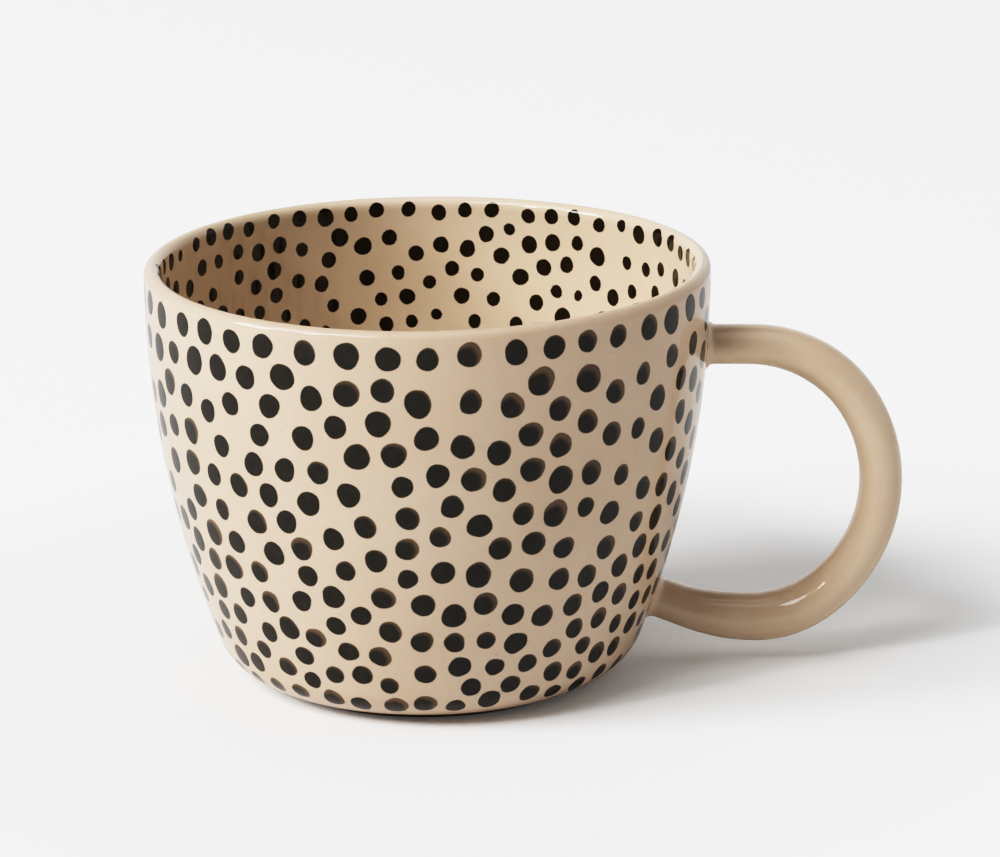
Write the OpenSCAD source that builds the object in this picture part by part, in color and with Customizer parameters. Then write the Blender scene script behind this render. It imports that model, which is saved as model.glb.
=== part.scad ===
// Hand-thrown stoneware mug: wide cup on a small foot ring, with a round-bar C handle.
// Millimetres. Origin at the centre of the foot's resting plane, Z up, X towards the handle.
// The clay cup and the clay handle are two pieces, luted with a slip joint at each root,
// and the glaze lies over them as a thin skin of its own.

/* [Cup] */
// outer diameter at the widest point, just under the rim
rim_d = 100; // [80:0.5:130]
// height of the rim above the table
cup_h = 75.5; // [60:0.5:110]
// radius of the long curve of the outside wall
wall_bow = 186; // [130:1:400]
// radius of the turn from the wall into the foot
heel_r = 10; // [6:0.5:16]
// wall thickness at the rim, glaze included
lip_t = 3; // [2.4:0.1:5]
// radius of the long curve of the inside wall
inner_bow = 165; // [120:1:360]
// radius of the turn from the inside wall into the floor
floor_r = 16; // [8:0.5:24]
// height of the inside floor above the table
floor_z = 6.5; // [5:0.1:10]

/* [Foot ring] */
// height of the heel above the table
foot_h = 1; // [0.6:0.1:4]
// width of the ring the cup stands on
foot_w = 4; // [2.5:0.1:8]
// depth of the hollow inside the ring
recess_h = 1.6; // [0.8:0.1:3]
// bevel on both edges of the ring
foot_bevel = 0.5; // [0.2:0.1:1]

/* [Handle] */
// thickness of the bar across the grip, before glazing
bar_t = 6.9; // [5:0.1:12]
// width of the bar, before glazing
bar_w = 8.8; // [6:0.1:16]
// height of the middle of the upper arm
arm_z = 59.3; // [40:0.1:90]
// distance from the cup's axis to the start of the first bend
arm_reach = 57.4; // [52:0.1:70]
// radius of the upper bend
upper_bend_r = 23; // [12:0.1:40]
// radius of the grip
grip_r = 27.2; // [12:0.1:60]
// radius of the lower bend
lower_bend_r = 19.3; // [10:0.1:40]
// radius of the run back to the cup
return_r = 39; // [12:0.5:80]
// leg of the slip fillet round each root
slip_leg = 1.7; // [0.8:0.1:3]

/* [Glaze] */
// thickness of the fired glaze
glaze_t = 0.4; // [0.2:0.05:0.8]
// where the glaze stops on the heel, in degrees up from its lowest point
glaze_stop = 12; // [6:1:40]

/* [Hidden] */
$fn = 96;
// the small slip joints are trimmed against the cup, so its round is finer there
fine_steps = 360;
lip_r = lip_t / 2;
lip_x = rim_d / 2 - lip_r;
lip_z = cup_h - lip_r;
// the wall curve is upright this far below the lip's centre
upright_drop = 2;
widest_z = lip_z - upright_drop;
wall_x = rim_d / 2 - wall_bow;
inner_x = rim_d / 2 - lip_t - inner_bow;
// centre of the heel curve, which touches the wall curve from inside
heel_z = foot_h + heel_r;
heel_x = wall_x + sqrt(pow(wall_bow - heel_r, 2) - pow(widest_z - heel_z, 2));
heel_turn = -asin((widest_z - heel_z) / (wall_bow - heel_r));
// centre of the curve between the inside wall and the floor
corner_z = floor_z + floor_r;
corner_x = inner_x + sqrt(pow(inner_bow - floor_r, 2) - pow(widest_z - corner_z, 2));
corner_turn = -asin((widest_z - corner_z) / (inner_bow - floor_r));
// the foot ring stands out a little past the start of the heel curve
foot_step = 0.5;
foot_r = heel_x + foot_step;
wall_steps = 14;
turn_steps = 10;
lip_steps = 8;

// the bar runs out straight, round four bends and straight back into the cup
bend_r = [upper_bend_r, grip_r, lower_bend_r, return_r];
// which way it points before, between and after the bends, as [x, z] of length one
headings = [[1, 0], [0.6, -0.8], [-0.8, -0.6], [-1, 0], [-0.936, 0.352]];
bend_count = len(bend_r);
// both ends start inside the wall, where the cup trims them off
arm_start = 44;
tail_len = 12;
bar_side = (bar_w - bar_t) / 2;

// points of an arc about [cx, cz]
function arc(cx, cz, r, from, to, steps) =
    [for (i = [0 : steps]) let (a = from + (to - from) * i / steps) [cx + r * cos(a), cz + r * sin(a)]];

// outside line of the cup from a chosen angle on the heel up to the top of the lip
function outside(skin, start) = concat(
    arc(heel_x, heel_z, heel_r - skin, start, heel_turn, turn_steps),
    [for (p = arc(wall_x, widest_z, wall_bow - skin, heel_turn, asin(upright_drop / wall_bow), wall_steps))
        if (p[1] > heel_z + heel_r * sin(heel_turn) + 1 && p[1] < lip_z - 1) p],
    arc(lip_x, lip_z, lip_r - skin, 0, 90, lip_steps));

// inside line from the top of the lip down to the middle of the floor
function inside(skin) = concat(
    arc(lip_x, lip_z, lip_r - skin, 90, 180, lip_steps),
    [for (p = arc(inner_x, widest_z, inner_bow + skin, 0, corner_turn, wall_steps))
        if (p[1] > corner_z + floor_r * sin(corner_turn) + 1) p],
    arc(corner_x, corner_z, floor_r + skin, corner_turn, -90, turn_steps),
    [[0, floor_z - skin]]);

// angle on the heel, at a given depth under the glaze, that meets the side of the foot ring
function foot_angle(skin) = -acos(foot_step / (heel_r - skin));

function flip(points) = [for (i = [len(points) - 1 : -1 : 0]) points[i]];

// left-hand side of a heading, which points away from the centre of a clockwise bend
function left_of(h) = [-h[1], h[0]];
function bend_start(i) = i == 0 ? [arm_reach, arm_z]
    : bend_centre(i - 1) + bend_r[i - 1] * left_of(headings[i]);
function bend_centre(i) = bend_start(i) - bend_r[i] * left_of(headings[i]);

tail_dir = headings[bend_count];
tail_start = bend_start(bend_count);

// where the middle of the bar meets the clay of the wall, at each end
function wall_reach(z) = wall_x + sqrt(pow(wall_bow - glaze_t, 2) - pow(widest_z - z, 2));
function tail_run(tries) = tries == 0 ? 0
    : (tail_start[0] - wall_reach(tail_start[1] + tail_dir[1] * tail_run(tries - 1))) / -tail_dir[0];
upper_root = [wall_reach(arm_z), arm_z];
lower_root = tail_start + tail_dir * tail_run(4);

// everything inside the outside line, used to trim the handle against the cup
module cup_envelope(skin) {
    rotate_extrude($fn = fine_steps)
        polygon(concat([[0, 0], [foot_r, 0]], outside(skin, foot_angle(skin)), [[0, cup_h - skin]]));
}

// oval section of the bar: across the grip along x, width along y
module bar_section(skin) {
    for (side = [-1, 1])
        translate([0, side * bar_side])
            circle(r = bar_t / 2 + skin);
    square([bar_t + 2 * skin, 2 * bar_side], center = true);
}

module straight(start, dir, length, skin) {
    translate([start[0], 0, start[1]])
        rotate([0, 90 - atan2(dir[1], dir[0]), 0])
            linear_extrude(height = length)
                bar_section(skin);
}

// one bend: the share of a full ring between its two headings
module bend(i, skin) {
    centre = bend_centre(i);
    first = left_of(headings[i]);
    last = left_of(headings[i + 1]);
    reach = 2 * (bend_r[i] + bar_t);
    deep = 2 * bar_w;
    intersection() {
        translate([centre[0], 0, centre[1]])
            rotate([90, 0, 0])
                rotate_extrude()
                    translate([bend_r[i], 0])
                        bar_section(skin);
        rotate([90, 0, 0])
            translate([0, 0, -deep / 2])
                linear_extrude(height = deep)
                    polygon([centre, centre + reach * first, centre + reach * (first + last), centre + reach * last]);
    }
}

// the whole bar, its ends still running into the wall
module bar(skin) {
    straight([arm_start, arm_z], headings[0], arm_reach - arm_start, skin);
    for (i = [0 : bend_count - 1])
        bend(i, skin);
    straight(tail_start, tail_dir, tail_len, skin);
}

// half profile of the slip round a root: x out from the middle of the bar, y away from the wall
function slip_line(skin) = let (
        sink = 2.5,
        hollow = 1.3 * slip_leg,
        hollow_r = sqrt(pow(hollow - slip_leg, 2) + pow(hollow, 2)),
        into_bar = 10,
        at_wall = atan2(-hollow, slip_leg - hollow),
        at_bar = -270 - at_wall - into_bar,
        line = arc(bar_t / 2 + hollow, hollow, hollow_r - skin, at_wall, at_bar, 6))
    concat([[0, -sink], [line[0][0], -sink]], line, [[0, line[6][1]]]);

// collar of slip round the bar where it leaves the wall
module collar(root, dir, skin) {
    translate([root[0], 0, root[1]])
        rotate([0, 90 - atan2(dir[1], dir[0]), 0]) {
            for (side = [0, 180])
                rotate([0, 0, side])
                    translate([0, bar_side, 0])
                        rotate_extrude(angle = 180)
                            polygon(slip_line(skin));
            translate([0, bar_side, 0])
                rotate([90, 0, 0])
                    linear_extrude(height = 2 * bar_side) {
                        polygon(slip_line(skin));
                        mirror([1, 0])
                            polygon(slip_line(skin));
                    }
        }
}

module upper_collar(skin) {
    collar(upper_root, headings[0], skin);
}

module lower_collar(skin) {
    collar(lower_root, -tail_dir, skin);
}

// thrown and turned clay: wall, floor and foot ring in one piece
module cup_body() {
    color([0.62, 0.47, 0.35])
        rotate_extrude()
            polygon(concat(
                [[0, recess_h],
                 [foot_r - foot_w - foot_bevel, recess_h],
                 [foot_r - foot_w, recess_h - foot_bevel],
                 [foot_r - foot_w, foot_bevel],
                 [foot_r - foot_w + foot_bevel, 0],
                 [foot_r - foot_bevel, 0],
                 [foot_r, foot_bevel]],
                outside(glaze_t, foot_angle(glaze_t)),
                inside(glaze_t)));
}

// pulled clay bar, trimmed to sit on the wall
module handle() {
    color([0.62, 0.47, 0.35])
        difference() {
            bar(0);
            cup_envelope(glaze_t);
        }
}

module upper_slip_joint() {
    color([0.5, 0.38, 0.28])
        difference() {
            upper_collar(0);
            bar(0);
            cup_envelope(glaze_t);
        }
}

module lower_slip_joint() {
    color([0.5, 0.38, 0.28])
        difference() {
            lower_collar(0);
            bar(0);
            cup_envelope(glaze_t);
        }
}

// glaze on the outside, from the heel to the top of the lip, open where the handle is luted on
module outer_glaze() {
    color([0.9, 0.84, 0.76])
        difference() {
            rotate_extrude()
                polygon(concat(outside(0, glaze_stop - 90), flip(outside(glaze_t, glaze_stop - 90))));
            bar(0);
            upper_collar(0);
            lower_collar(0);
        }
}

// glaze on the inside, from the top of the lip across the floor
module inner_glaze() {
    color([0.93, 0.87, 0.8])
        rotate_extrude()
            polygon(concat(inside(0), flip(inside(glaze_t))));
}

// glaze round the bar and over both slip joints
module handle_glaze() {
    color([0.8, 0.7, 0.58])
        difference() {
            union() {
                bar(glaze_t);
                upper_collar(glaze_t);
                lower_collar(glaze_t);
            }
            bar(0);
            upper_collar(0);
            lower_collar(0);
            cup_envelope(0);
        }
}

cup_body();
handle();
upper_slip_joint();
lower_slip_joint();
outer_glaze();
inner_glaze();
handle_glaze();
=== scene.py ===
import math
import bpy
import numpy as np
from mathutils import Matrix, Vector


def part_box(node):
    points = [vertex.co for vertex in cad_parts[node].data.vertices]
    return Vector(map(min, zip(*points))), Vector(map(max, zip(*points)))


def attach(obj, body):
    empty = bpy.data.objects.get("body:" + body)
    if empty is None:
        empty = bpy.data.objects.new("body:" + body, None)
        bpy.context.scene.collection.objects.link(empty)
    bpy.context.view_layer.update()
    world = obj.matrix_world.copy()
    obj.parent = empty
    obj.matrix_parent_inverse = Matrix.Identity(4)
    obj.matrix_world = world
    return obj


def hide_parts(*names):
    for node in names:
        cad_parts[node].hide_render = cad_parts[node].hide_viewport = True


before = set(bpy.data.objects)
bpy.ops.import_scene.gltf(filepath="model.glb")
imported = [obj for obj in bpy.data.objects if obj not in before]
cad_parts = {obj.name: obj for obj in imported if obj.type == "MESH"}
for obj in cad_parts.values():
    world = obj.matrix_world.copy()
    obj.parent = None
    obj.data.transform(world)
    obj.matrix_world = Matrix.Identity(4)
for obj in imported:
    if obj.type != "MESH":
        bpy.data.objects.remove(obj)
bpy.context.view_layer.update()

MM = 0.001

# ---------------------------------------------------------------- sizes, in millimetres
# The boxes of the CAD nodes give the sizes; the radii are the ones the CAD is drawn with.
glaze_low, glaze_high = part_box("outer_glaze")
RIM_R = (glaze_high[1] - glaze_low[1]) / 2 / MM
CUP_H = glaze_high[2] / MM
LINER_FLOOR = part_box("inner_glaze")[0][2] / MM
GLAZE_T = CUP_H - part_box("cup_body")[1][2] / MM

WALL_BOW = 186.0      # radius of the outside wall's bow
INNER_BOW = 165.0     # the same inside
UPRIGHT_DROP = 2.0    # how far below the lip's centre the wall stands upright
LIP_R = 1.5
HEEL_R = 10.0         # the rounded heel between wall and foot
CORNER_R = 16.0       # the bend between wall and floor inside
FOOT_H = 1.0          # lowest point of the heel's circle above the table
FOOT_STEP = 0.5       # the foot ring's outside beyond the heel's centre
FOOT_W = 4.0
FOOT_BEVEL = 0.5
RECESS_H = 1.6        # hollow inside the foot ring
GLAZE_STOP = 12.0     # degrees up the heel, from its lowest point, at which the glaze ends

# Centres of the arcs, and the angles at which they meet.
LIP_X = RIM_R - LIP_R
LIP_Z = CUP_H - LIP_R
WIDEST_Z = LIP_Z - UPRIGHT_DROP
WALL_X = RIM_R - WALL_BOW
INNER_X = RIM_R - 2 * LIP_R - INNER_BOW
HEEL_Z = FOOT_H + HEEL_R
HEEL_X = WALL_X + math.sqrt((WALL_BOW - HEEL_R) ** 2 - (WIDEST_Z - HEEL_Z) ** 2)
HEEL_TURN = -math.asin((WIDEST_Z - HEEL_Z) / (WALL_BOW - HEEL_R))
FLOOR_Z = LINER_FLOOR + GLAZE_T
CORNER_Z = FLOOR_Z + CORNER_R
CORNER_X = INNER_X + math.sqrt((INNER_BOW - CORNER_R) ** 2 - (WIDEST_Z - CORNER_Z) ** 2)
CORNER_TURN = -math.asin((WIDEST_Z - CORNER_Z) / (INNER_BOW - CORNER_R))
FOOT_R = HEEL_X + FOOT_STEP


# ---------------------------------------------------------------- lines that are turned round the axis
AXIS_GAP = 0.02       # the liner's line stops just short of the axis


def arc(cx, cz, r, start, end, steps):
    """Points on an arc, from one angle to another, as rows of radius and height."""
    a = np.linspace(start, end, steps + 1)
    return np.stack([cx + r * np.cos(a), cz + r * np.sin(a)], 1)


def spaced(line, step):
    """The same line with its points evenly spaced, about step apart."""
    run = np.concatenate([[0], np.cumsum(np.linalg.norm(np.diff(line, axis=0), axis=1))])
    at = np.linspace(0, run[-1], max(2, int(round(run[-1] / step)) + 1))
    return np.stack([np.interp(at, run, line[:, 0]), np.interp(at, run, line[:, 1])], 1)


def outside_line(skin, start):
    """The outside from an angle on the heel up to the top of the lip, moved inwards by skin."""
    return np.concatenate([
        arc(HEEL_X, HEEL_Z, HEEL_R - skin, start, HEEL_TURN, 40),
        arc(WALL_X, WIDEST_Z, WALL_BOW - skin, HEEL_TURN, math.asin(UPRIGHT_DROP / WALL_BOW), 160)[1:],
        arc(LIP_X, LIP_Z, LIP_R - skin, 0, math.pi / 2, 24)[1:]])


def inside_line(skin):
    """The inside from the top of the lip down to the middle of the floor, moved into the clay by skin."""
    return np.concatenate([
        arc(LIP_X, LIP_Z, LIP_R - skin, math.pi / 2, math.pi, 24),
        arc(INNER_X, WIDEST_Z, INNER_BOW + skin, 0, CORNER_TURN, 160)[1:],
        arc(CORNER_X, CORNER_Z, CORNER_R + skin, CORNER_TURN, -math.pi / 2, 50)[1:],
        np.array([[AXIS_GAP, FLOOR_Z - skin]])])


# ---------------------------------------------------------------- the hand in it
LEAN = 0.006          # sideways per unit of height, towards the handle
HANDLE_FREE = 8       # the cup's unevenness fades out over this distance beyond the wall
MIDDLE_FREE = 10      # and over this distance towards the axis


def by_hand(p):
    """Moves points a few tenths of a millimetre, as a thrown cup is never quite round.
    Every piece goes through here, so they still fit."""
    p = np.asarray(p, float).copy()
    turn = np.arctan2(p[:, 1], p[:, 0])
    high = np.clip(p[:, 2] / CUP_H, 0, 1)
    out = high * (0.22 * np.cos(2 * turn + 0.7) + 0.10 * np.cos(3 * turn - 1.1 + high))
    out += 0.06 * np.sin(5 * turn + 4 * high)
    r = np.maximum(np.hypot(p[:, 0], p[:, 1]), 1e-6)
    near = np.clip(1 - (r - RIM_R - 1) / HANDLE_FREE, 0, 1) * np.clip(r / MIDDLE_FREE, 0, 1)
    p[:, 0] += out * near * p[:, 0] / r
    p[:, 1] += out * near * p[:, 1] / r
    p[:, 2] += high ** 2 * near * (0.16 * np.sin(turn + 0.5) + 0.10 * np.sin(2 * turn + 2.0))
    p[:, 0] += LEAN * p[:, 2]
    return p


# ---------------------------------------------------------------- meshes
SHARP_EDGE = 50       # degrees


def make_mesh(name, points, faces):
    """A smooth-shaded object from points in millimetres."""
    mesh = bpy.data.meshes.new(name)
    mesh.from_pydata((np.asarray(points) * MM).tolist(), [], faces)
    mesh.validate()
    mesh.update()
    mesh.polygons.foreach_set("use_smooth", [True] * len(mesh.polygons))
    mesh.set_sharp_from_angle(angle=math.radians(SHARP_EDGE))
    obj = bpy.data.objects.new(name, mesh)
    bpy.context.scene.collection.objects.link(obj)
    return obj


def ring_quads(i, j, up, around):
    """Quads between ring i and ring up, at every place j round them."""
    nxt = (j + 1) % around
    corners = (i * around + j, i * around + nxt, up * around + nxt, up * around + j)
    return np.stack(np.broadcast_arrays(*corners), 2).reshape(-1, 4).tolist()


def turned(name, line, around, closed_line):
    """A line turned round the axis. The line either closes on itself or starts and ends on the axis."""
    n = len(line)
    a = np.arange(around) * 2 * math.pi / around
    ring = line[1:-1] if not closed_line else line
    pts = np.stack([np.outer(ring[:, 0], np.cos(a)), np.outer(ring[:, 0], np.sin(a)),
                    np.repeat(ring[:, 1][:, None], around, 1)], 2).reshape(-1, 3)
    m = len(ring)
    rows = m if closed_line else m - 1
    i = np.arange(rows)[:, None]
    quads = ring_quads(i, np.arange(around)[None, :], (i + 1) % m, around)
    if not closed_line:
        first, last = len(pts), len(pts) + 1
        pts = np.concatenate([pts, [[0, 0, line[0, 1]], [0, 0, line[-1, 1]]]])
        quads += [[first, (k + 1) % around, k] for k in range(around)]
        top = (m - 1) * around
        quads += [[last, top + k, top + (k + 1) % around] for k in range(around)]
    return make_mesh(name, by_hand(pts), quads)


# The painted faces are fine enough to carry the dots' edges; their backs and the clay are seldom seen. The
# outer glaze is whole under the handle's roots, where the CAD's is cut open.
OUTER_AROUND = 540
INNER_AROUND = 460
CLAY_AROUND = 240

stop = math.radians(GLAZE_STOP - 90)
outer_face = spaced(outside_line(0, stop), 0.56)
outer_back = spaced(outside_line(GLAZE_T, stop)[::-1], 4.0)
outer_glaze = turned("outer_glaze_coat", np.concatenate([outer_face, outer_back]), OUTER_AROUND, True)

inner_face = spaced(inside_line(0), 0.72)
inner_back = spaced(inside_line(GLAZE_T)[::-1], 5.0)
inner_glaze = turned("inner_glaze_coat", np.concatenate([inner_face, inner_back]), INNER_AROUND, True)

# The clay, from the middle of the underside, round the foot ring, up the outside and down the inside.
ring_in = FOOT_R - FOOT_W
soft = 0.15           # how far the middle of a bevel is drawn in
foot_angle = -math.acos(FOOT_STEP / (HEEL_R - GLAZE_T))
clay_line = np.concatenate([
    [[0, RECESS_H], [12, RECESS_H], [20, RECESS_H], [ring_in - FOOT_BEVEL, RECESS_H]],
    [[ring_in - 0.1, RECESS_H - soft], [ring_in, RECESS_H - FOOT_BEVEL], [ring_in, FOOT_BEVEL]],
    [[ring_in + soft, soft], [ring_in + FOOT_BEVEL, 0], [FOOT_R - 2, 0], [FOOT_R - FOOT_BEVEL, 0]],
    [[FOOT_R - soft, soft], [FOOT_R, FOOT_BEVEL]],
    spaced(outside_line(GLAZE_T, foot_angle), 1.2),
    spaced(inside_line(GLAZE_T)[1:-1], 2.0),
    [[0, FLOOR_Z - GLAZE_T]]])
cup_clay = turned("cup_clay", clay_line, CLAY_AROUND, False)


# ---------------------------------------------------------------- the handle
# The bar's path is the CAD's: a straight arm, four bends and a straight run back. Headings are unit [x, z].
# Where the CAD trims the bar's ends to the wall, here they run on into it, out of sight.
HEADINGS = [(1, 0), (0.6, -0.8), (-0.8, -0.6), (-1, 0), (-0.936, 0.352)]
BENDS = [23.0, 27.2, 19.3, 39.0]    # radii
ARM_START = 46.9      # inside the wall
ARM_REACH = 57.4      # where the first bend begins
ARM_Z = 59.3
RUN_BACK = 8.4        # length of the last straight


def bar_path(step):
    """Points along the middle of the bar, and the heading at each."""
    at = np.array([ARM_START, ARM_Z])
    points, heads = [], []
    heading = np.array(HEADINGS[0], float)
    n = int((ARM_REACH - at[0]) / step)
    for k in range(n):
        points.append(at + heading * (ARM_REACH - at[0]) * k / n)
        heads.append(math.atan2(heading[1], heading[0]))
    at = np.array([ARM_REACH, ARM_Z])
    a = 0.0
    for i, r in enumerate(BENDS):
        b = math.atan2(HEADINGS[i + 1][1], HEADINGS[i + 1][0])
        turn = (a - b) % (2 * math.pi)
        centre = at - r * np.array([-math.sin(a), math.cos(a)])
        n = int(r * turn / step)
        for k in range(n):
            h = a - turn * k / n
            points.append(centre + r * np.array([-math.sin(h), math.cos(h)]))
            heads.append(h)
        a -= turn
        at = centre + r * np.array([-math.sin(a), math.cos(a)])
    d = np.array([math.cos(a), math.sin(a)])
    for k in range(int(RUN_BACK / step) + 1):
        points.append(at + d * k * step)
        heads.append(a)
    return np.array(points), np.array(heads)


def wall_gap(p, skin):
    """How far points lie outside the wall's surface, which is moved inwards by skin."""
    turn = np.hypot(p[:, 0], p[:, 1])
    z = p[:, 2]
    reach = WALL_X + np.sqrt(np.maximum((WALL_BOW - skin) ** 2 - (WIDEST_Z - z) ** 2, 0))
    low = HEEL_X + np.sqrt(np.maximum((HEEL_R - skin) ** 2 - (z - HEEL_Z) ** 2, 0))
    joint_z = HEEL_Z + HEEL_R * math.sin(HEEL_TURN)
    surface = np.where(z > joint_z, reach, low)
    slope = (WIDEST_Z - z) / np.maximum(reach - WALL_X, 1)
    return (turn - surface) * np.cos(np.arctan(slope))


BAR_SQUARENESS = 2.05    # power of the section's superellipse; 2 is a plain ellipse


def bar_size(share):
    """Thickness and width of the clay bar along its length. It swells in the lower bend and thins to the
    roots; the CAD's bar is 6.9 by 8.8 throughout."""
    t = np.interp(share, [0, 0.10, 0.22, 0.40, 0.56, 0.68, 0.76, 0.84, 0.92, 1.0],
                  [6.1, 6.2, 6.8, 6.9, 7.0, 7.7, 8.1, 7.6, 6.3, 6.1])
    w = np.interp(share, [0, 0.12, 0.30, 0.60, 0.80, 1.0], [8.6, 8.4, 8.6, 8.8, 8.8, 8.8])
    return t, w


def bar_mesh(name, skin, step, around, leg):
    """The bar, thicker by skin all round, with a fillet of radius leg where it meets the wall."""
    points, heads = bar_path(step)
    share = np.linspace(0, 1, len(points))
    t, w = bar_size(share)
    a = np.arange(around) * 2 * math.pi / around
    power = 2 / BAR_SQUARENESS
    cx = np.sign(np.cos(a)) * np.abs(np.cos(a)) ** power
    cy = np.sign(np.sin(a)) * np.abs(np.sin(a)) ** power
    side = np.stack([-np.sin(heads), np.cos(heads)], 1)
    half_t = t[:, None] / 2 + skin
    half_w = w[:, None] / 2 + skin
    u = half_t * cx[None, :]
    v = half_w * cy[None, :]
    base = np.stack([points[:, 0:1] + side[:, 0:1] * u, v, points[:, 1:2] + side[:, 1:2] * u], 2)
    base = base.reshape(-1, 3)
    out_u = np.abs(cx) ** 1.05 * np.sign(cx) / half_t
    out_v = np.abs(cy) ** 1.05 * np.sign(cy) / half_w
    size = np.sqrt(out_u ** 2 + out_v ** 2)
    out_u, out_v = out_u / size, out_v / size
    out = np.stack([side[:, 0:1] * out_u, out_v + 0 * out_u, side[:, 1:2] * out_u], 2).reshape(-1, 3)
    gap = np.clip(wall_gap(base, GLAZE_T - skin), 0, leg)
    flare = leg - np.sqrt(np.maximum(leg ** 2 - (leg - gap) ** 2, 0))
    pts = base + out * flare[:, None]
    ring = len(points)
    i = np.arange(ring - 1)[:, None]
    quads = ring_quads(i, np.arange(around)[None, :], i + 1, around)
    quads.append(list(range(around))[::-1])
    quads.append([(ring - 1) * around + k for k in range(around)])
    return make_mesh(name, by_hand(pts), quads)


handle_glaze = bar_mesh("handle_glaze_coat", GLAZE_T, step=0.6, around=72, leg=1.35)
handle_clay = bar_mesh("handle_clay", 0.0, step=1.2, around=40, leg=0.2)


# The slip collar's section: out from the bar's surface, and along the bar away from the wall.
SLIP_SECTION = [
    (-0.6, 0.9), (-0.6, -0.5), (0.35, -0.5), (0.45, 0.0),
    (0.3, 0.15), (0.1, 0.4), (0.0, 0.8), (-0.2, 0.9)]
ROOT_HALF_T = 3.1
ROOT_HALF_W = 4.3


def slip_ring(name, root, heading):
    """A low collar of slip round a root of the handle, under the glaze."""
    around, rows = 48, len(SLIP_SECTION)
    a = np.arange(around) * 2 * math.pi / around
    side = np.array([-heading[1], heading[0]])
    line = []
    for out, away in SLIP_SECTION:
        half_t, half_w = ROOT_HALF_T + out, ROOT_HALF_W + out
        for k in range(around):
            u, v = half_t * math.cos(a[k]), half_w * math.sin(a[k])
            x = root[0] + heading[0] * away + side[0] * u
            z = root[1] + heading[1] * away + side[1] * u
            line.append((x, v, z))
    i = np.arange(rows)[:, None]
    quads = ring_quads(i, np.arange(around)[None, :], (i + 1) % rows, around)
    return make_mesh(name, by_hand(line), quads)


upper_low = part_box("upper_slip_joint")[0]
upper_slip = slip_ring("upper_slip", (upper_low[0] / MM + 0.5, ARM_Z), HEADINGS[0])
lower_low, lower_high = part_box("lower_slip_joint")
lower_z = (lower_low[2] + lower_high[2]) / 2 / MM + 0.2
lower_slip = slip_ring("lower_slip", (lower_low[0] / MM + 2.1, lower_z), (-HEADINGS[-1][0], -HEADINGS[-1][1]))


# ---------------------------------------------------------------- the painted dots
class Wall:
    """A turned face as the painter sees it: a point is a run along its line, in mm, and a turn round the pot,
    in radians."""

    def __init__(self, line):
        self.line = line
        self.run = np.concatenate([[0], np.cumsum(np.linalg.norm(np.diff(line, axis=0), axis=1))])
        self.length = float(self.run[-1])

    def radius(self, s):
        """Radius of the pot at a run."""
        return np.interp(s, self.run, self.line[:, 0])

    def spot(self, s, turn):
        """The point in space."""
        r = self.radius(s)
        return np.stack([r * np.cos(turn), r * np.sin(turn), np.interp(s, self.run, self.line[:, 1])], -1)

    def directions(self, s, turn):
        """Unit directions round the pot and along the line."""
        ahead = self.spot(s + 0.2, turn) - self.spot(s - 0.2, turn)
        north = ahead / np.linalg.norm(ahead, axis=1)[:, None]
        return np.stack([-np.sin(turn), np.cos(turn), 0 * turn], 1), north


TRIES = 4000          # places tried for each spacing
CLOSER = 0.15         # how much the spacing drops when no more fit
NUDGES = 7
NUDGE_SHARE = 0.22    # part of the missing distance that one nudge makes up
FAR_AWAY = 99         # stands for a dot's distance from itself


def crowding(wall, s, power):
    """Spacing against that at the rim: about as many dots go round a narrower part."""
    return np.maximum(wall.radius(s) / RIM_R, 0.5) ** power


def scatter(wall, first, last, count, start_gap, room, power, rows, rng):
    """Fills a wall with dots: whole rows first, then each next dot where there is room, then a few rounds
    of nudging apart, as a painter keeps an even distance by eye. A row is its run, its spacing and how far
    its dots stray from it. Spacings are those at the rim, and power says how they shrink with the pot's
    radius. Returns each dot's run and turn."""
    s, turn, held = np.zeros(0), np.zeros(0), np.zeros(0)
    for s_row, gap, sway in rows:
        n = int(round(2 * math.pi * float(wall.radius(s_row)) / gap))
        place = np.arange(n) + rng.uniform(-0.16, 0.16, n) + rng.uniform()
        turn = np.concatenate([turn, place * 2 * math.pi / n])
        s = np.concatenate([s, s_row + rng.uniform(-sway, sway, n)])
        held = np.concatenate([held, np.ones(n)])
    have = wall.spot(s, turn)
    gap = start_gap
    while len(s) < count and gap > 1:
        new_s = rng.uniform(first, last, TRIES)
        new_s = new_s[rng.uniform(0, RIM_R, TRIES) < wall.radius(new_s)]
        new_turn = rng.uniform(0, 2 * math.pi, len(new_s))
        new = wall.spot(new_s, new_turn)
        apart = gap * crowding(wall, new_s, power)
        for k in range(len(new)):
            if len(s) < count and ((have - new[k]) ** 2).sum(1).min() > apart[k] ** 2:
                s, turn, held = np.append(s, new_s[k]), np.append(turn, new_turn[k]), np.append(held, 0)
                have = np.concatenate([have, new[k:k + 1]])
        gap -= CLOSER
    for _ in range(NUDGES):
        at = wall.spot(s, turn)
        east, north = wall.directions(s, turn)
        d = at[:, None] - at[None]
        far = np.sqrt((d * d).sum(2)) + np.eye(len(at)) * FAR_AWAY
        own = room * crowding(wall, s, power)
        short = np.clip((own[:, None] + own[None]) / 2 - far, 0, None)
        push = (d * (short / far * NUDGE_SHARE)[..., None]).sum(1)
        turn = turn + (push * east).sum(1) / np.maximum(wall.radius(s), 1)
        s = np.clip(s + (push * north).sum(1) * (1 - held), first, last) * (1 - held) + s * held
    return s, turn


def dot_sizes(wall, s, turn, mean, spread, least, most, gap, rng):
    """Radii that leave a gap between neighbours."""
    radius = np.clip(rng.normal(mean, spread, len(s)), least, most) * crowding(wall, s, 0.45)
    at = wall.spot(s, turn)
    far = np.linalg.norm(at[:, None] - at[None], axis=2) + np.eye(len(at)) * FAR_AWAY
    for _ in range(4):
        over = radius[:, None] + radius[None] + gap - far
        radius = np.maximum(radius - np.clip(over, 0, None).max(1) * 0.5, least * 0.8)
    return radius


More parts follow.
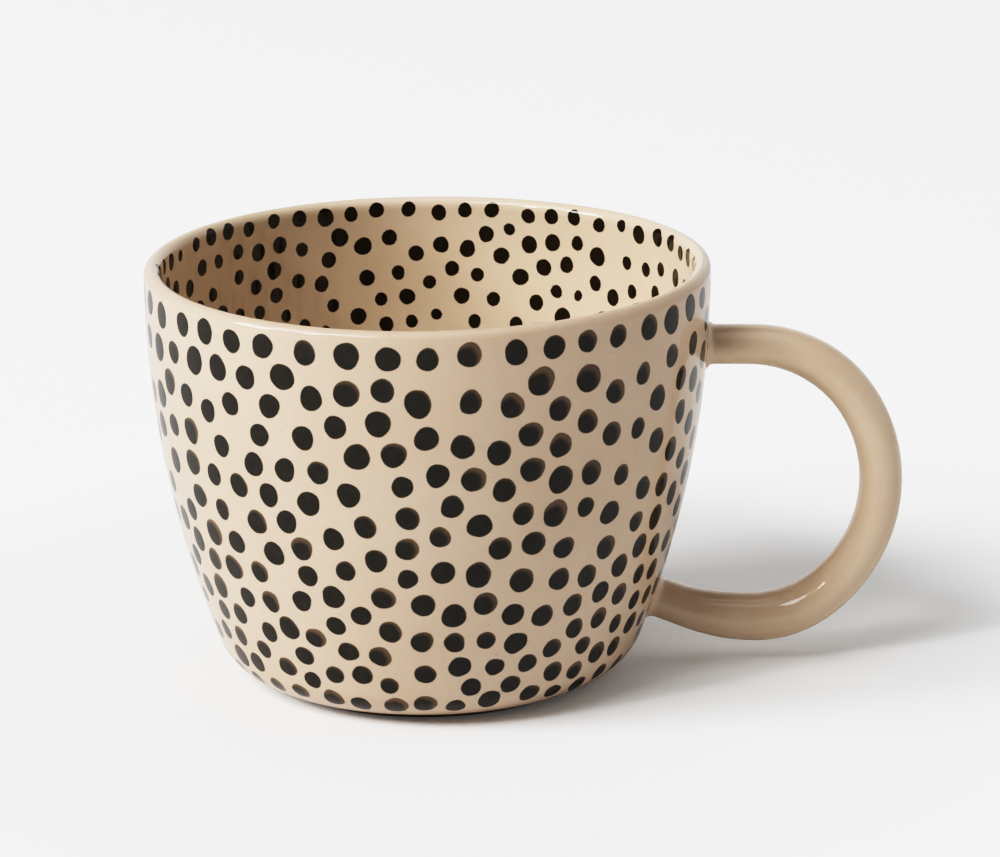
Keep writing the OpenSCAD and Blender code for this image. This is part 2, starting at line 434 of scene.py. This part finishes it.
BARE = 3.0            # written where no dot is near, in mm
REACH = 4.5           # further than any dot's edge is from its middle
FLAT_R = 10           # the inside's floor is flat within this radius


def paint(obj, wall, around, s, turn, radius, wash, rng):
    """Writes on every vertex of the face how far it is from the edge of the nearest dot and from that dot's
    thick core, in mm. wash says how thin the colour runs at one side of each dot, 0 for not at all."""
    mesh = obj.data
    n = len(mesh.vertices)
    flat = np.empty(n * 3, np.float32)
    mesh.vertices.foreach_get("co", flat)
    co = flat.reshape(-1, 3)[:len(wall.line) * around].astype(float) / MM
    edge, core, tone = np.full(len(co), BARE), np.full(len(co), BARE), np.full(len(co), 0.5)
    run = np.repeat(wall.run, around)
    centre = by_hand(wall.spot(s, turn))
    east, north = wall.directions(s, turn)
    for k in range(len(s)):
        wob = rng.uniform(-1, 1, 7)
        near = np.nonzero(np.abs(co - centre[k]).max(1) < REACH)[0]
        d = co[near] - centre[k]
        # Up and down a dot is measured along the surface, so it stays whole over the lip; near the axis it is
        # measured straight across.
        x = d @ east[k]
        y = run[near] - s[k] if wall.radius(s[k]) > FLAT_R else d @ north[k]
        a = np.arctan2(y, x)
        # Each dot is a press of the brush: never a true circle, and a touch taller than wide.
        rim = radius[k] * (1 + 0.06 * wob[0] * np.cos(2 * a + 3 * wob[1])
                           + 0.04 * wob[2] * np.cos(3 * a + 3 * wob[3])
                           + 0.02 * wob[4] * np.cos(5 * a + wob[0]) - 0.030 * np.cos(2 * a))
        outline = np.hypot(x, y) - rim
        slide = 0.40 * radius[k] * wash[k]
        lean = 0.95 + 0.40 * wob[5]
        thick = np.hypot(x + slide * math.cos(lean), y + slide * math.sin(lean))
        thick = thick - rim * (1 - 0.10 * wash[k]) - 0.45 * (1 - wash[k])
        closer = outline < edge[near]
        spot = near[closer]
        edge[spot] = outline[closer]
        core[spot] = thick[closer]
        tone[spot] = 0.5 + 0.5 * wob[6]
    for label, values, rest in (("dot_edge", edge, BARE), ("dot_core", core, BARE), ("dot_tone", tone, 0.5)):
        full = np.full(n, rest, np.float32)
        full[:len(values)] = values
        mesh.attributes.new(label, "FLOAT", "POINT").data.foreach_set("value", full)


rng = np.random.RandomState(11)
wall = Wall(outer_face)
s, turn = scatter(wall, first=6.8, last=wall.length - 7.0, count=528, start_gap=5.8, room=6.7, power=0.85,
                  rows=[(wall.length - 5.0, 7.1, 0.4), (7.4, 5.9, 0.7)], rng=rng)
radius = dot_sizes(wall, s, turn, mean=2.18, spread=0.17, least=1.72, most=2.50, gap=0.30, rng=rng)
high = s / wall.length
# The brush ran thinner on one side of the pot than on the other; turn is 0 at the handle.
dry = 0.50 + 0.42 * np.cos(turn + 1.0) + 0.30 * np.cos(3 * turn + 4 * high) - 0.25 * high
wash = np.clip(dry * 0.8 + rng.normal(0, 0.30, len(s)), 0, 1)
paint(outer_glaze, wall, OUTER_AROUND, s, turn, radius, wash, rng)

rng = np.random.RandomState(23)
wall = Wall(inner_face)
s, turn = scatter(wall, first=5.6, last=wall.length - 1, count=840, start_gap=5.2, room=5.1, power=0.3,
                  rows=[(3.1, 5.5, 0.5)], rng=rng)
radius = dot_sizes(wall, s, turn, mean=1.54, spread=0.20, least=1.05, most=2.05, gap=0.4, rng=rng)
paint(inner_glaze, wall, INNER_AROUND, s, turn, radius, 0 * s, rng)


# ---------------------------------------------------------------- materials
def nodes_of(name):
    """A new material with an output and a principled shader, and nothing else."""
    mat = bpy.data.materials.new(name)
    mat.use_nodes = True
    tree = mat.node_tree
    tree.nodes.clear()
    out = tree.nodes.new("ShaderNodeOutputMaterial")
    shader = tree.nodes.new("ShaderNodeBsdfPrincipled")
    tree.links.new(shader.outputs["BSDF"], out.inputs["Surface"])
    return mat, tree, shader


def noise(tree, coord, scale, detail, rough=0.5):
    n = tree.nodes.new("ShaderNodeTexNoise")
    n.inputs["Scale"].default_value = scale
    n.inputs["Detail"].default_value = detail
    n.inputs["Roughness"].default_value = rough
    tree.links.new(coord, n.inputs["Vector"])
    return n.outputs["Fac"]


def remap(tree, value, low, high, to_low, to_high, smooth=False):
    m = tree.nodes.new("ShaderNodeMapRange")
    m.interpolation_type = "SMOOTHSTEP" if smooth else "LINEAR"
    for k, x in zip(("From Min", "From Max", "To Min", "To Max"), (low, high, to_low, to_high)):
        m.inputs[k].default_value = x
    tree.links.new(value, m.inputs["Value"])
    return m.outputs["Result"]


def blend(tree, share, a, b):
    """Colour a, or b where share is 1."""
    m = tree.nodes.new("ShaderNodeMix")
    m.data_type = "RGBA"
    for value, name in ((share, 0), (a, 6), (b, 7)):
        if isinstance(value, tuple):
            m.inputs[name].default_value = (*value, 1)
        else:
            tree.links.new(value, m.inputs[name])
    return m.outputs[2]


def maths(tree, kind, a, b):
    m = tree.nodes.new("ShaderNodeMath")
    m.operation = kind
    for k, value in enumerate((a, b)):
        if isinstance(value, (int, float)):
            m.inputs[k].default_value = value
        else:
            tree.links.new(value, m.inputs[k])
    return m.outputs[0]


def attribute(tree, name):
    a = tree.nodes.new("ShaderNodeAttribute")
    a.attribute_name = name
    return a.outputs["Fac"]


# Colours of the glaze, of thin and thick pigment in it, and of its specks.
CREAM = (0.632, 0.491, 0.371)
CREAM_DEEP = (0.600, 0.456, 0.338)
HALO = (0.150, 0.098, 0.058)
INK = (0.0210, 0.0175, 0.0125)
INK_INSIDE = (0.0210, 0.0150, 0.0080)
SPECK = (0.30, 0.19, 0.11)


def shade(colour, share):
    return tuple(share * x for x in colour)


def bump(tree, shader, height, strength, distance):
    node = tree.nodes.new("ShaderNodeBump")
    node.inputs["Strength"].default_value = strength
    node.inputs["Distance"].default_value = distance
    tree.links.new(height, node.inputs["Height"])
    tree.links.new(node.outputs["Normal"], shader.inputs["Normal"])


def glaze_material(name, dots, ink=INK, base=CREAM, deep=CREAM_DEEP):
    """A glossy glaze, cloudy and faintly specked, with the painted dots under it if there are any."""
    mat, tree, shader = nodes_of(name)
    coord = tree.nodes.new("ShaderNodeTexCoord").outputs["Object"]
    cloud = noise(tree, coord, scale=38, detail=3)
    fine = noise(tree, coord, scale=420, detail=3, rough=0.6)
    share = maths(tree, "ADD", maths(tree, "MULTIPLY", cloud, 0.75), maths(tree, "MULTIPLY", fine, 0.25))
    colour = blend(tree, remap(tree, share, 0.38, 0.64, 0, 1, True), deep, base)
    speck = noise(tree, coord, scale=900, detail=1)
    colour = blend(tree, remap(tree, speck, 0.74, 0.80, 0, 0.25, True), colour, SPECK)
    if dots:
        grain = noise(tree, coord, scale=1300, detail=2, rough=0.6)
        ragged = maths(tree, "MULTIPLY", maths(tree, "SUBTRACT", grain, 0.5), 0.12)
        edge = maths(tree, "ADD", attribute(tree, "dot_edge"), ragged)
        core = maths(tree, "ADD", attribute(tree, "dot_core"), maths(tree, "MULTIPLY", ragged, 2.0))
        tone = attribute(tree, "dot_tone")
        wash = blend(tree, tone, HALO, shade(HALO, 0.72))
        inside = remap(tree, edge, -0.12, 0.12, 1, 0, True)
        dark = remap(tree, core, -0.52, 0.58, 1, 0, True)
        thin = remap(tree, noise(tree, coord, scale=520, detail=2), 0.35, 0.7, 0, 0.16, True)
        body = blend(tree, thin, ink, shade(ink, 2.6))
        colour = blend(tree, inside, colour, blend(tree, dark, wash, body))
    tree.links.new(colour, shader.inputs["Base Color"])
    shader.inputs["Roughness"].default_value = 0.05
    shader.inputs["IOR"].default_value = 1.45
    shader.inputs["Specular IOR Level"].default_value = 0.42
    bump(tree, shader, noise(tree, coord, scale=95, detail=2, rough=0.4), strength=0.10, distance=0.0006)
    return mat


def clay_material(name, light, dark):
    """Dull gritty clay."""
    mat, tree, shader = nodes_of(name)
    coord = tree.nodes.new("ShaderNodeTexCoord").outputs["Object"]
    grain = noise(tree, coord, scale=260, detail=5, rough=0.65)
    colour = blend(tree, remap(tree, grain, 0.35, 0.65, 0, 1), dark, light)
    grit = noise(tree, coord, scale=1400, detail=2)
    colour = blend(tree, remap(tree, grit, 0.66, 0.74, 0, 0.7, True), colour, shade(dark, 0.35))
    tree.links.new(colour, shader.inputs["Base Color"])
    tree.links.new(remap(tree, grain, 0.3, 0.7, 0.78, 0.92), shader.inputs["Roughness"])
    bump(tree, shader, noise(tree, coord, scale=900, detail=4, rough=0.6), strength=0.5, distance=0.0003)
    return mat


clay = clay_material("bare_clay", (0.30, 0.19, 0.115), (0.19, 0.112, 0.064))
slip = clay_material("slip", (0.27, 0.17, 0.10), (0.18, 0.105, 0.06))
outer_mat = glaze_material("outer_glaze", True)
# The liner and the handle's glaze are the outside's cream painted lighter: painted light, standing in for
# more light inside the cup and on the handle.
inner_mat = glaze_material("inner_glaze", True, INK_INSIDE, (0.720, 0.580, 0.435), (0.692, 0.546, 0.400))
handle_mat = glaze_material("handle_glaze", False, INK, (0.710, 0.555, 0.414), (0.678, 0.520, 0.379))

for obj, mat, node, slot_name in (
        (cup_clay, clay, "cup_body", "clay"),
        (handle_clay, clay, "handle", "clay"),
        (upper_slip, slip, "upper_slip_joint", "slip"),
        (lower_slip, slip, "lower_slip_joint", "slip"),
        (outer_glaze, outer_mat, "outer_glaze", "outer_glaze"),
        (inner_glaze, inner_mat, "inner_glaze", "inner_glaze"),
        (handle_glaze, handle_mat, "handle_glaze", "handle_glaze")):
    obj.data.materials.append(mat)
    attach(obj, "root")
    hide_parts(node)


# ---------------------------------------------------------------- floor, lights, camera
def stage_material():
    """Pale paper. The camera sees it brighter than the light it throws on the mug would make it, and brighter
    away from the mug:
    a glow for camera rays only, painted light that lightens the mug's cast shadow. Distances are from the
    mug's axis, in metres."""
    mat, tree, shader = nodes_of("pale_floor")
    seen = tree.nodes.new("ShaderNodeLightPath").outputs["Is Camera Ray"]
    tree.links.new(blend(tree, seen, (0.86, 0.86, 0.86), (1.0, 1.0, 1.0)), shader.inputs["Base Color"])
    shader.inputs["Emission Color"].default_value = (1, 1, 1, 1)
    away = tree.nodes.new("ShaderNodeVectorMath")
    away.operation = "LENGTH"
    tree.links.new(tree.nodes.new("ShaderNodeTexCoord").outputs["Object"], away.inputs[0])
    distance = away.outputs["Value"]
    # Camera-only glow: painted light that lifts the mug's cast shadow past the mug and keeps the far floor
    # evenly bright.
    painted_shadow_lift = maths(tree, "ADD", remap(tree, distance, 0.090, 0.140, 0.065, 0.24, True),
                 remap(tree, distance, 0.75, 4.0, 0, 1.2, True))
    tree.links.new(maths(tree, "MULTIPLY", seen, painted_shadow_lift), shader.inputs["Emission Strength"])
    shader.inputs["Roughness"].default_value = 0.9
    shader.inputs["Specular IOR Level"].default_value = 0.1
    return mat


FLOOR_SIZE = 14
FLOOR_DROP = 0.00002    # keeps the floor clear of the foot's own faces
bpy.ops.mesh.primitive_plane_add(size=FLOOR_SIZE, location=(0, 0, -FLOOR_DROP))
floor = bpy.context.object
floor.name = "floor"
floor.data.materials.append(stage_material())


MUG_MIDDLE = Vector((0, 0, 0.03))
LAMPS_AWAY = 4.4


def area_light(name, where, size, power):
    """A square white panel facing the mug. Size in metres, power in watts."""
    data = bpy.data.lights.new(name, "AREA")
    data.energy = power
    data.size = size
    obj = bpy.data.objects.new(name, data)
    obj.location = where
    obj.rotation_mode = "QUATERNION"
    obj.rotation_quaternion = (MUG_MIDDLE - where).to_track_quat("-Z", "Y")
    bpy.context.scene.collection.objects.link(obj)


def from_side(turn, rise):
    """A place seen from the mug at an angle from -X towards -Y, and at a height angle, in degrees."""
    t, r = math.radians(turn), math.radians(rise)
    way = Vector((-math.cos(t) * math.cos(r), -math.sin(t) * math.cos(r), math.sin(r)))
    return way * LAMPS_AWAY + MUG_MIDDLE


# One tall soft window at the front left, as overlapping panels with a brighter core. Each is its turn, rise,
# size and power.
for name, turn, rise, size, power in (
        ("window_low", 14, 25, 1.3, 102),
        ("window_mid", 29, 44, 1.9, 79),
        ("window_front", 54, 48, 1.3, 48),
        ("window_core", 40, 33, 0.4, 26)):
    area_light(name, from_side(turn, rise), size, power)

area_light("ceiling", Vector((0, 0, LAMPS_AWAY)), 3.2, 36)

# The room: dark on the camera's side and overhead, with pale walls behind the mug and to its right. Each glow
# is its direction, the cosine of the angle from it at which it begins, and its strength.
GLOWS = (
    ((0, 1, 0), 0.60, 0.78),
    ((1, 1, 0.3), 0.50, 0.13),
    ((1, 0, 0.9), 0.50, 0.08),
    ((1, 0.25, 0), 0.58, 0.62))
GLOW_FULL = 0.95      # cosine at which a glow is at full strength
BACKDROP = 1.7        # what the camera sees past the floor

world = bpy.data.worlds.new("room")
bpy.context.scene.world = world
world.use_nodes = True
room = world.node_tree
background = room.nodes["Background"]
background.inputs["Color"].default_value = (1.0, 1.0, 1.0, 1)
direction = room.nodes.new("ShaderNodeTexCoord").outputs["Generated"]
glow = None
for way, edge, power in GLOWS:
    toward = room.nodes.new("ShaderNodeVectorMath")
    toward.operation = "DOT_PRODUCT"
    toward.inputs[1].default_value = Vector(way).normalized()
    room.links.new(direction, toward.inputs[0])
    part = remap(room, toward.outputs["Value"], edge, GLOW_FULL, 0, power, True)
    glow = part if glow is None else maths(room, "ADD", glow, part)
seen = room.nodes.new("ShaderNodeLightPath").outputs["Is Camera Ray"]
strength = maths(room, "MAXIMUM", glow, maths(room, "MULTIPLY", seen, BACKDROP))
room.links.new(strength, background.inputs["Strength"])

# The camera looks along +Y, a little down, at a point between the cup and its handle.
AIM = Vector((0.01307, 0, 0.04410))
CAMERA_AWAY = 0.750
CAMERA_RISE = 16.37   # degrees
CAMERA_ROLL = -0.58

cam_data = bpy.data.cameras.new("camera")
camera = bpy.data.objects.new("camera", cam_data)
bpy.context.scene.collection.objects.link(camera)
bpy.context.scene.camera = camera
cam_data.lens = 150.7
cam_data.sensor_width = 36
tilt = math.radians(CAMERA_RISE)
away = Vector((0, -math.cos(tilt), math.sin(tilt)))
camera.location = AIM + away * CAMERA_AWAY
camera.rotation_mode = "QUATERNION"
roll = Matrix.Rotation(math.radians(CAMERA_ROLL), 3, "Z").to_quaternion()
camera.rotation_quaternion = (-away).to_track_quat("-Z", "Y") @ roll
cam_data.clip_start = 0.01
cam_data.clip_end = 50

# ---------------------------------------------------------------- how light is shown
BRIGHTEST = 3.0       # scene light at the end of the curve
DARKEST = 0.03        # scene light at its first point
TONE_STEP = 1.39      # from one point to the next
TONE_POINTS = 14


def print_tone(light):
    """Shown light for scene light, as in a studio print: a short toe, a steep middle and a long shoulder."""
    return 0.955 * light ** 2 / (light ** 2 + 0.461 ** 2) + 0.222 * light * math.exp(-light / 0.91)


settings = bpy.context.scene.view_settings
settings.view_transform = "Standard"
settings.use_curve_mapping = True
mapping = settings.curve_mapping
mapping.white_level = (BRIGHTEST,) * 3
curve = mapping.curves[3]
for k in range(TONE_POINTS):
    light = DARKEST * TONE_STEP ** k
    curve.points.new(light / BRIGHTEST, print_tone(light))
for point in curve.points:
    point.handle_type = "AUTO_CLAMPED"
mapping.update()
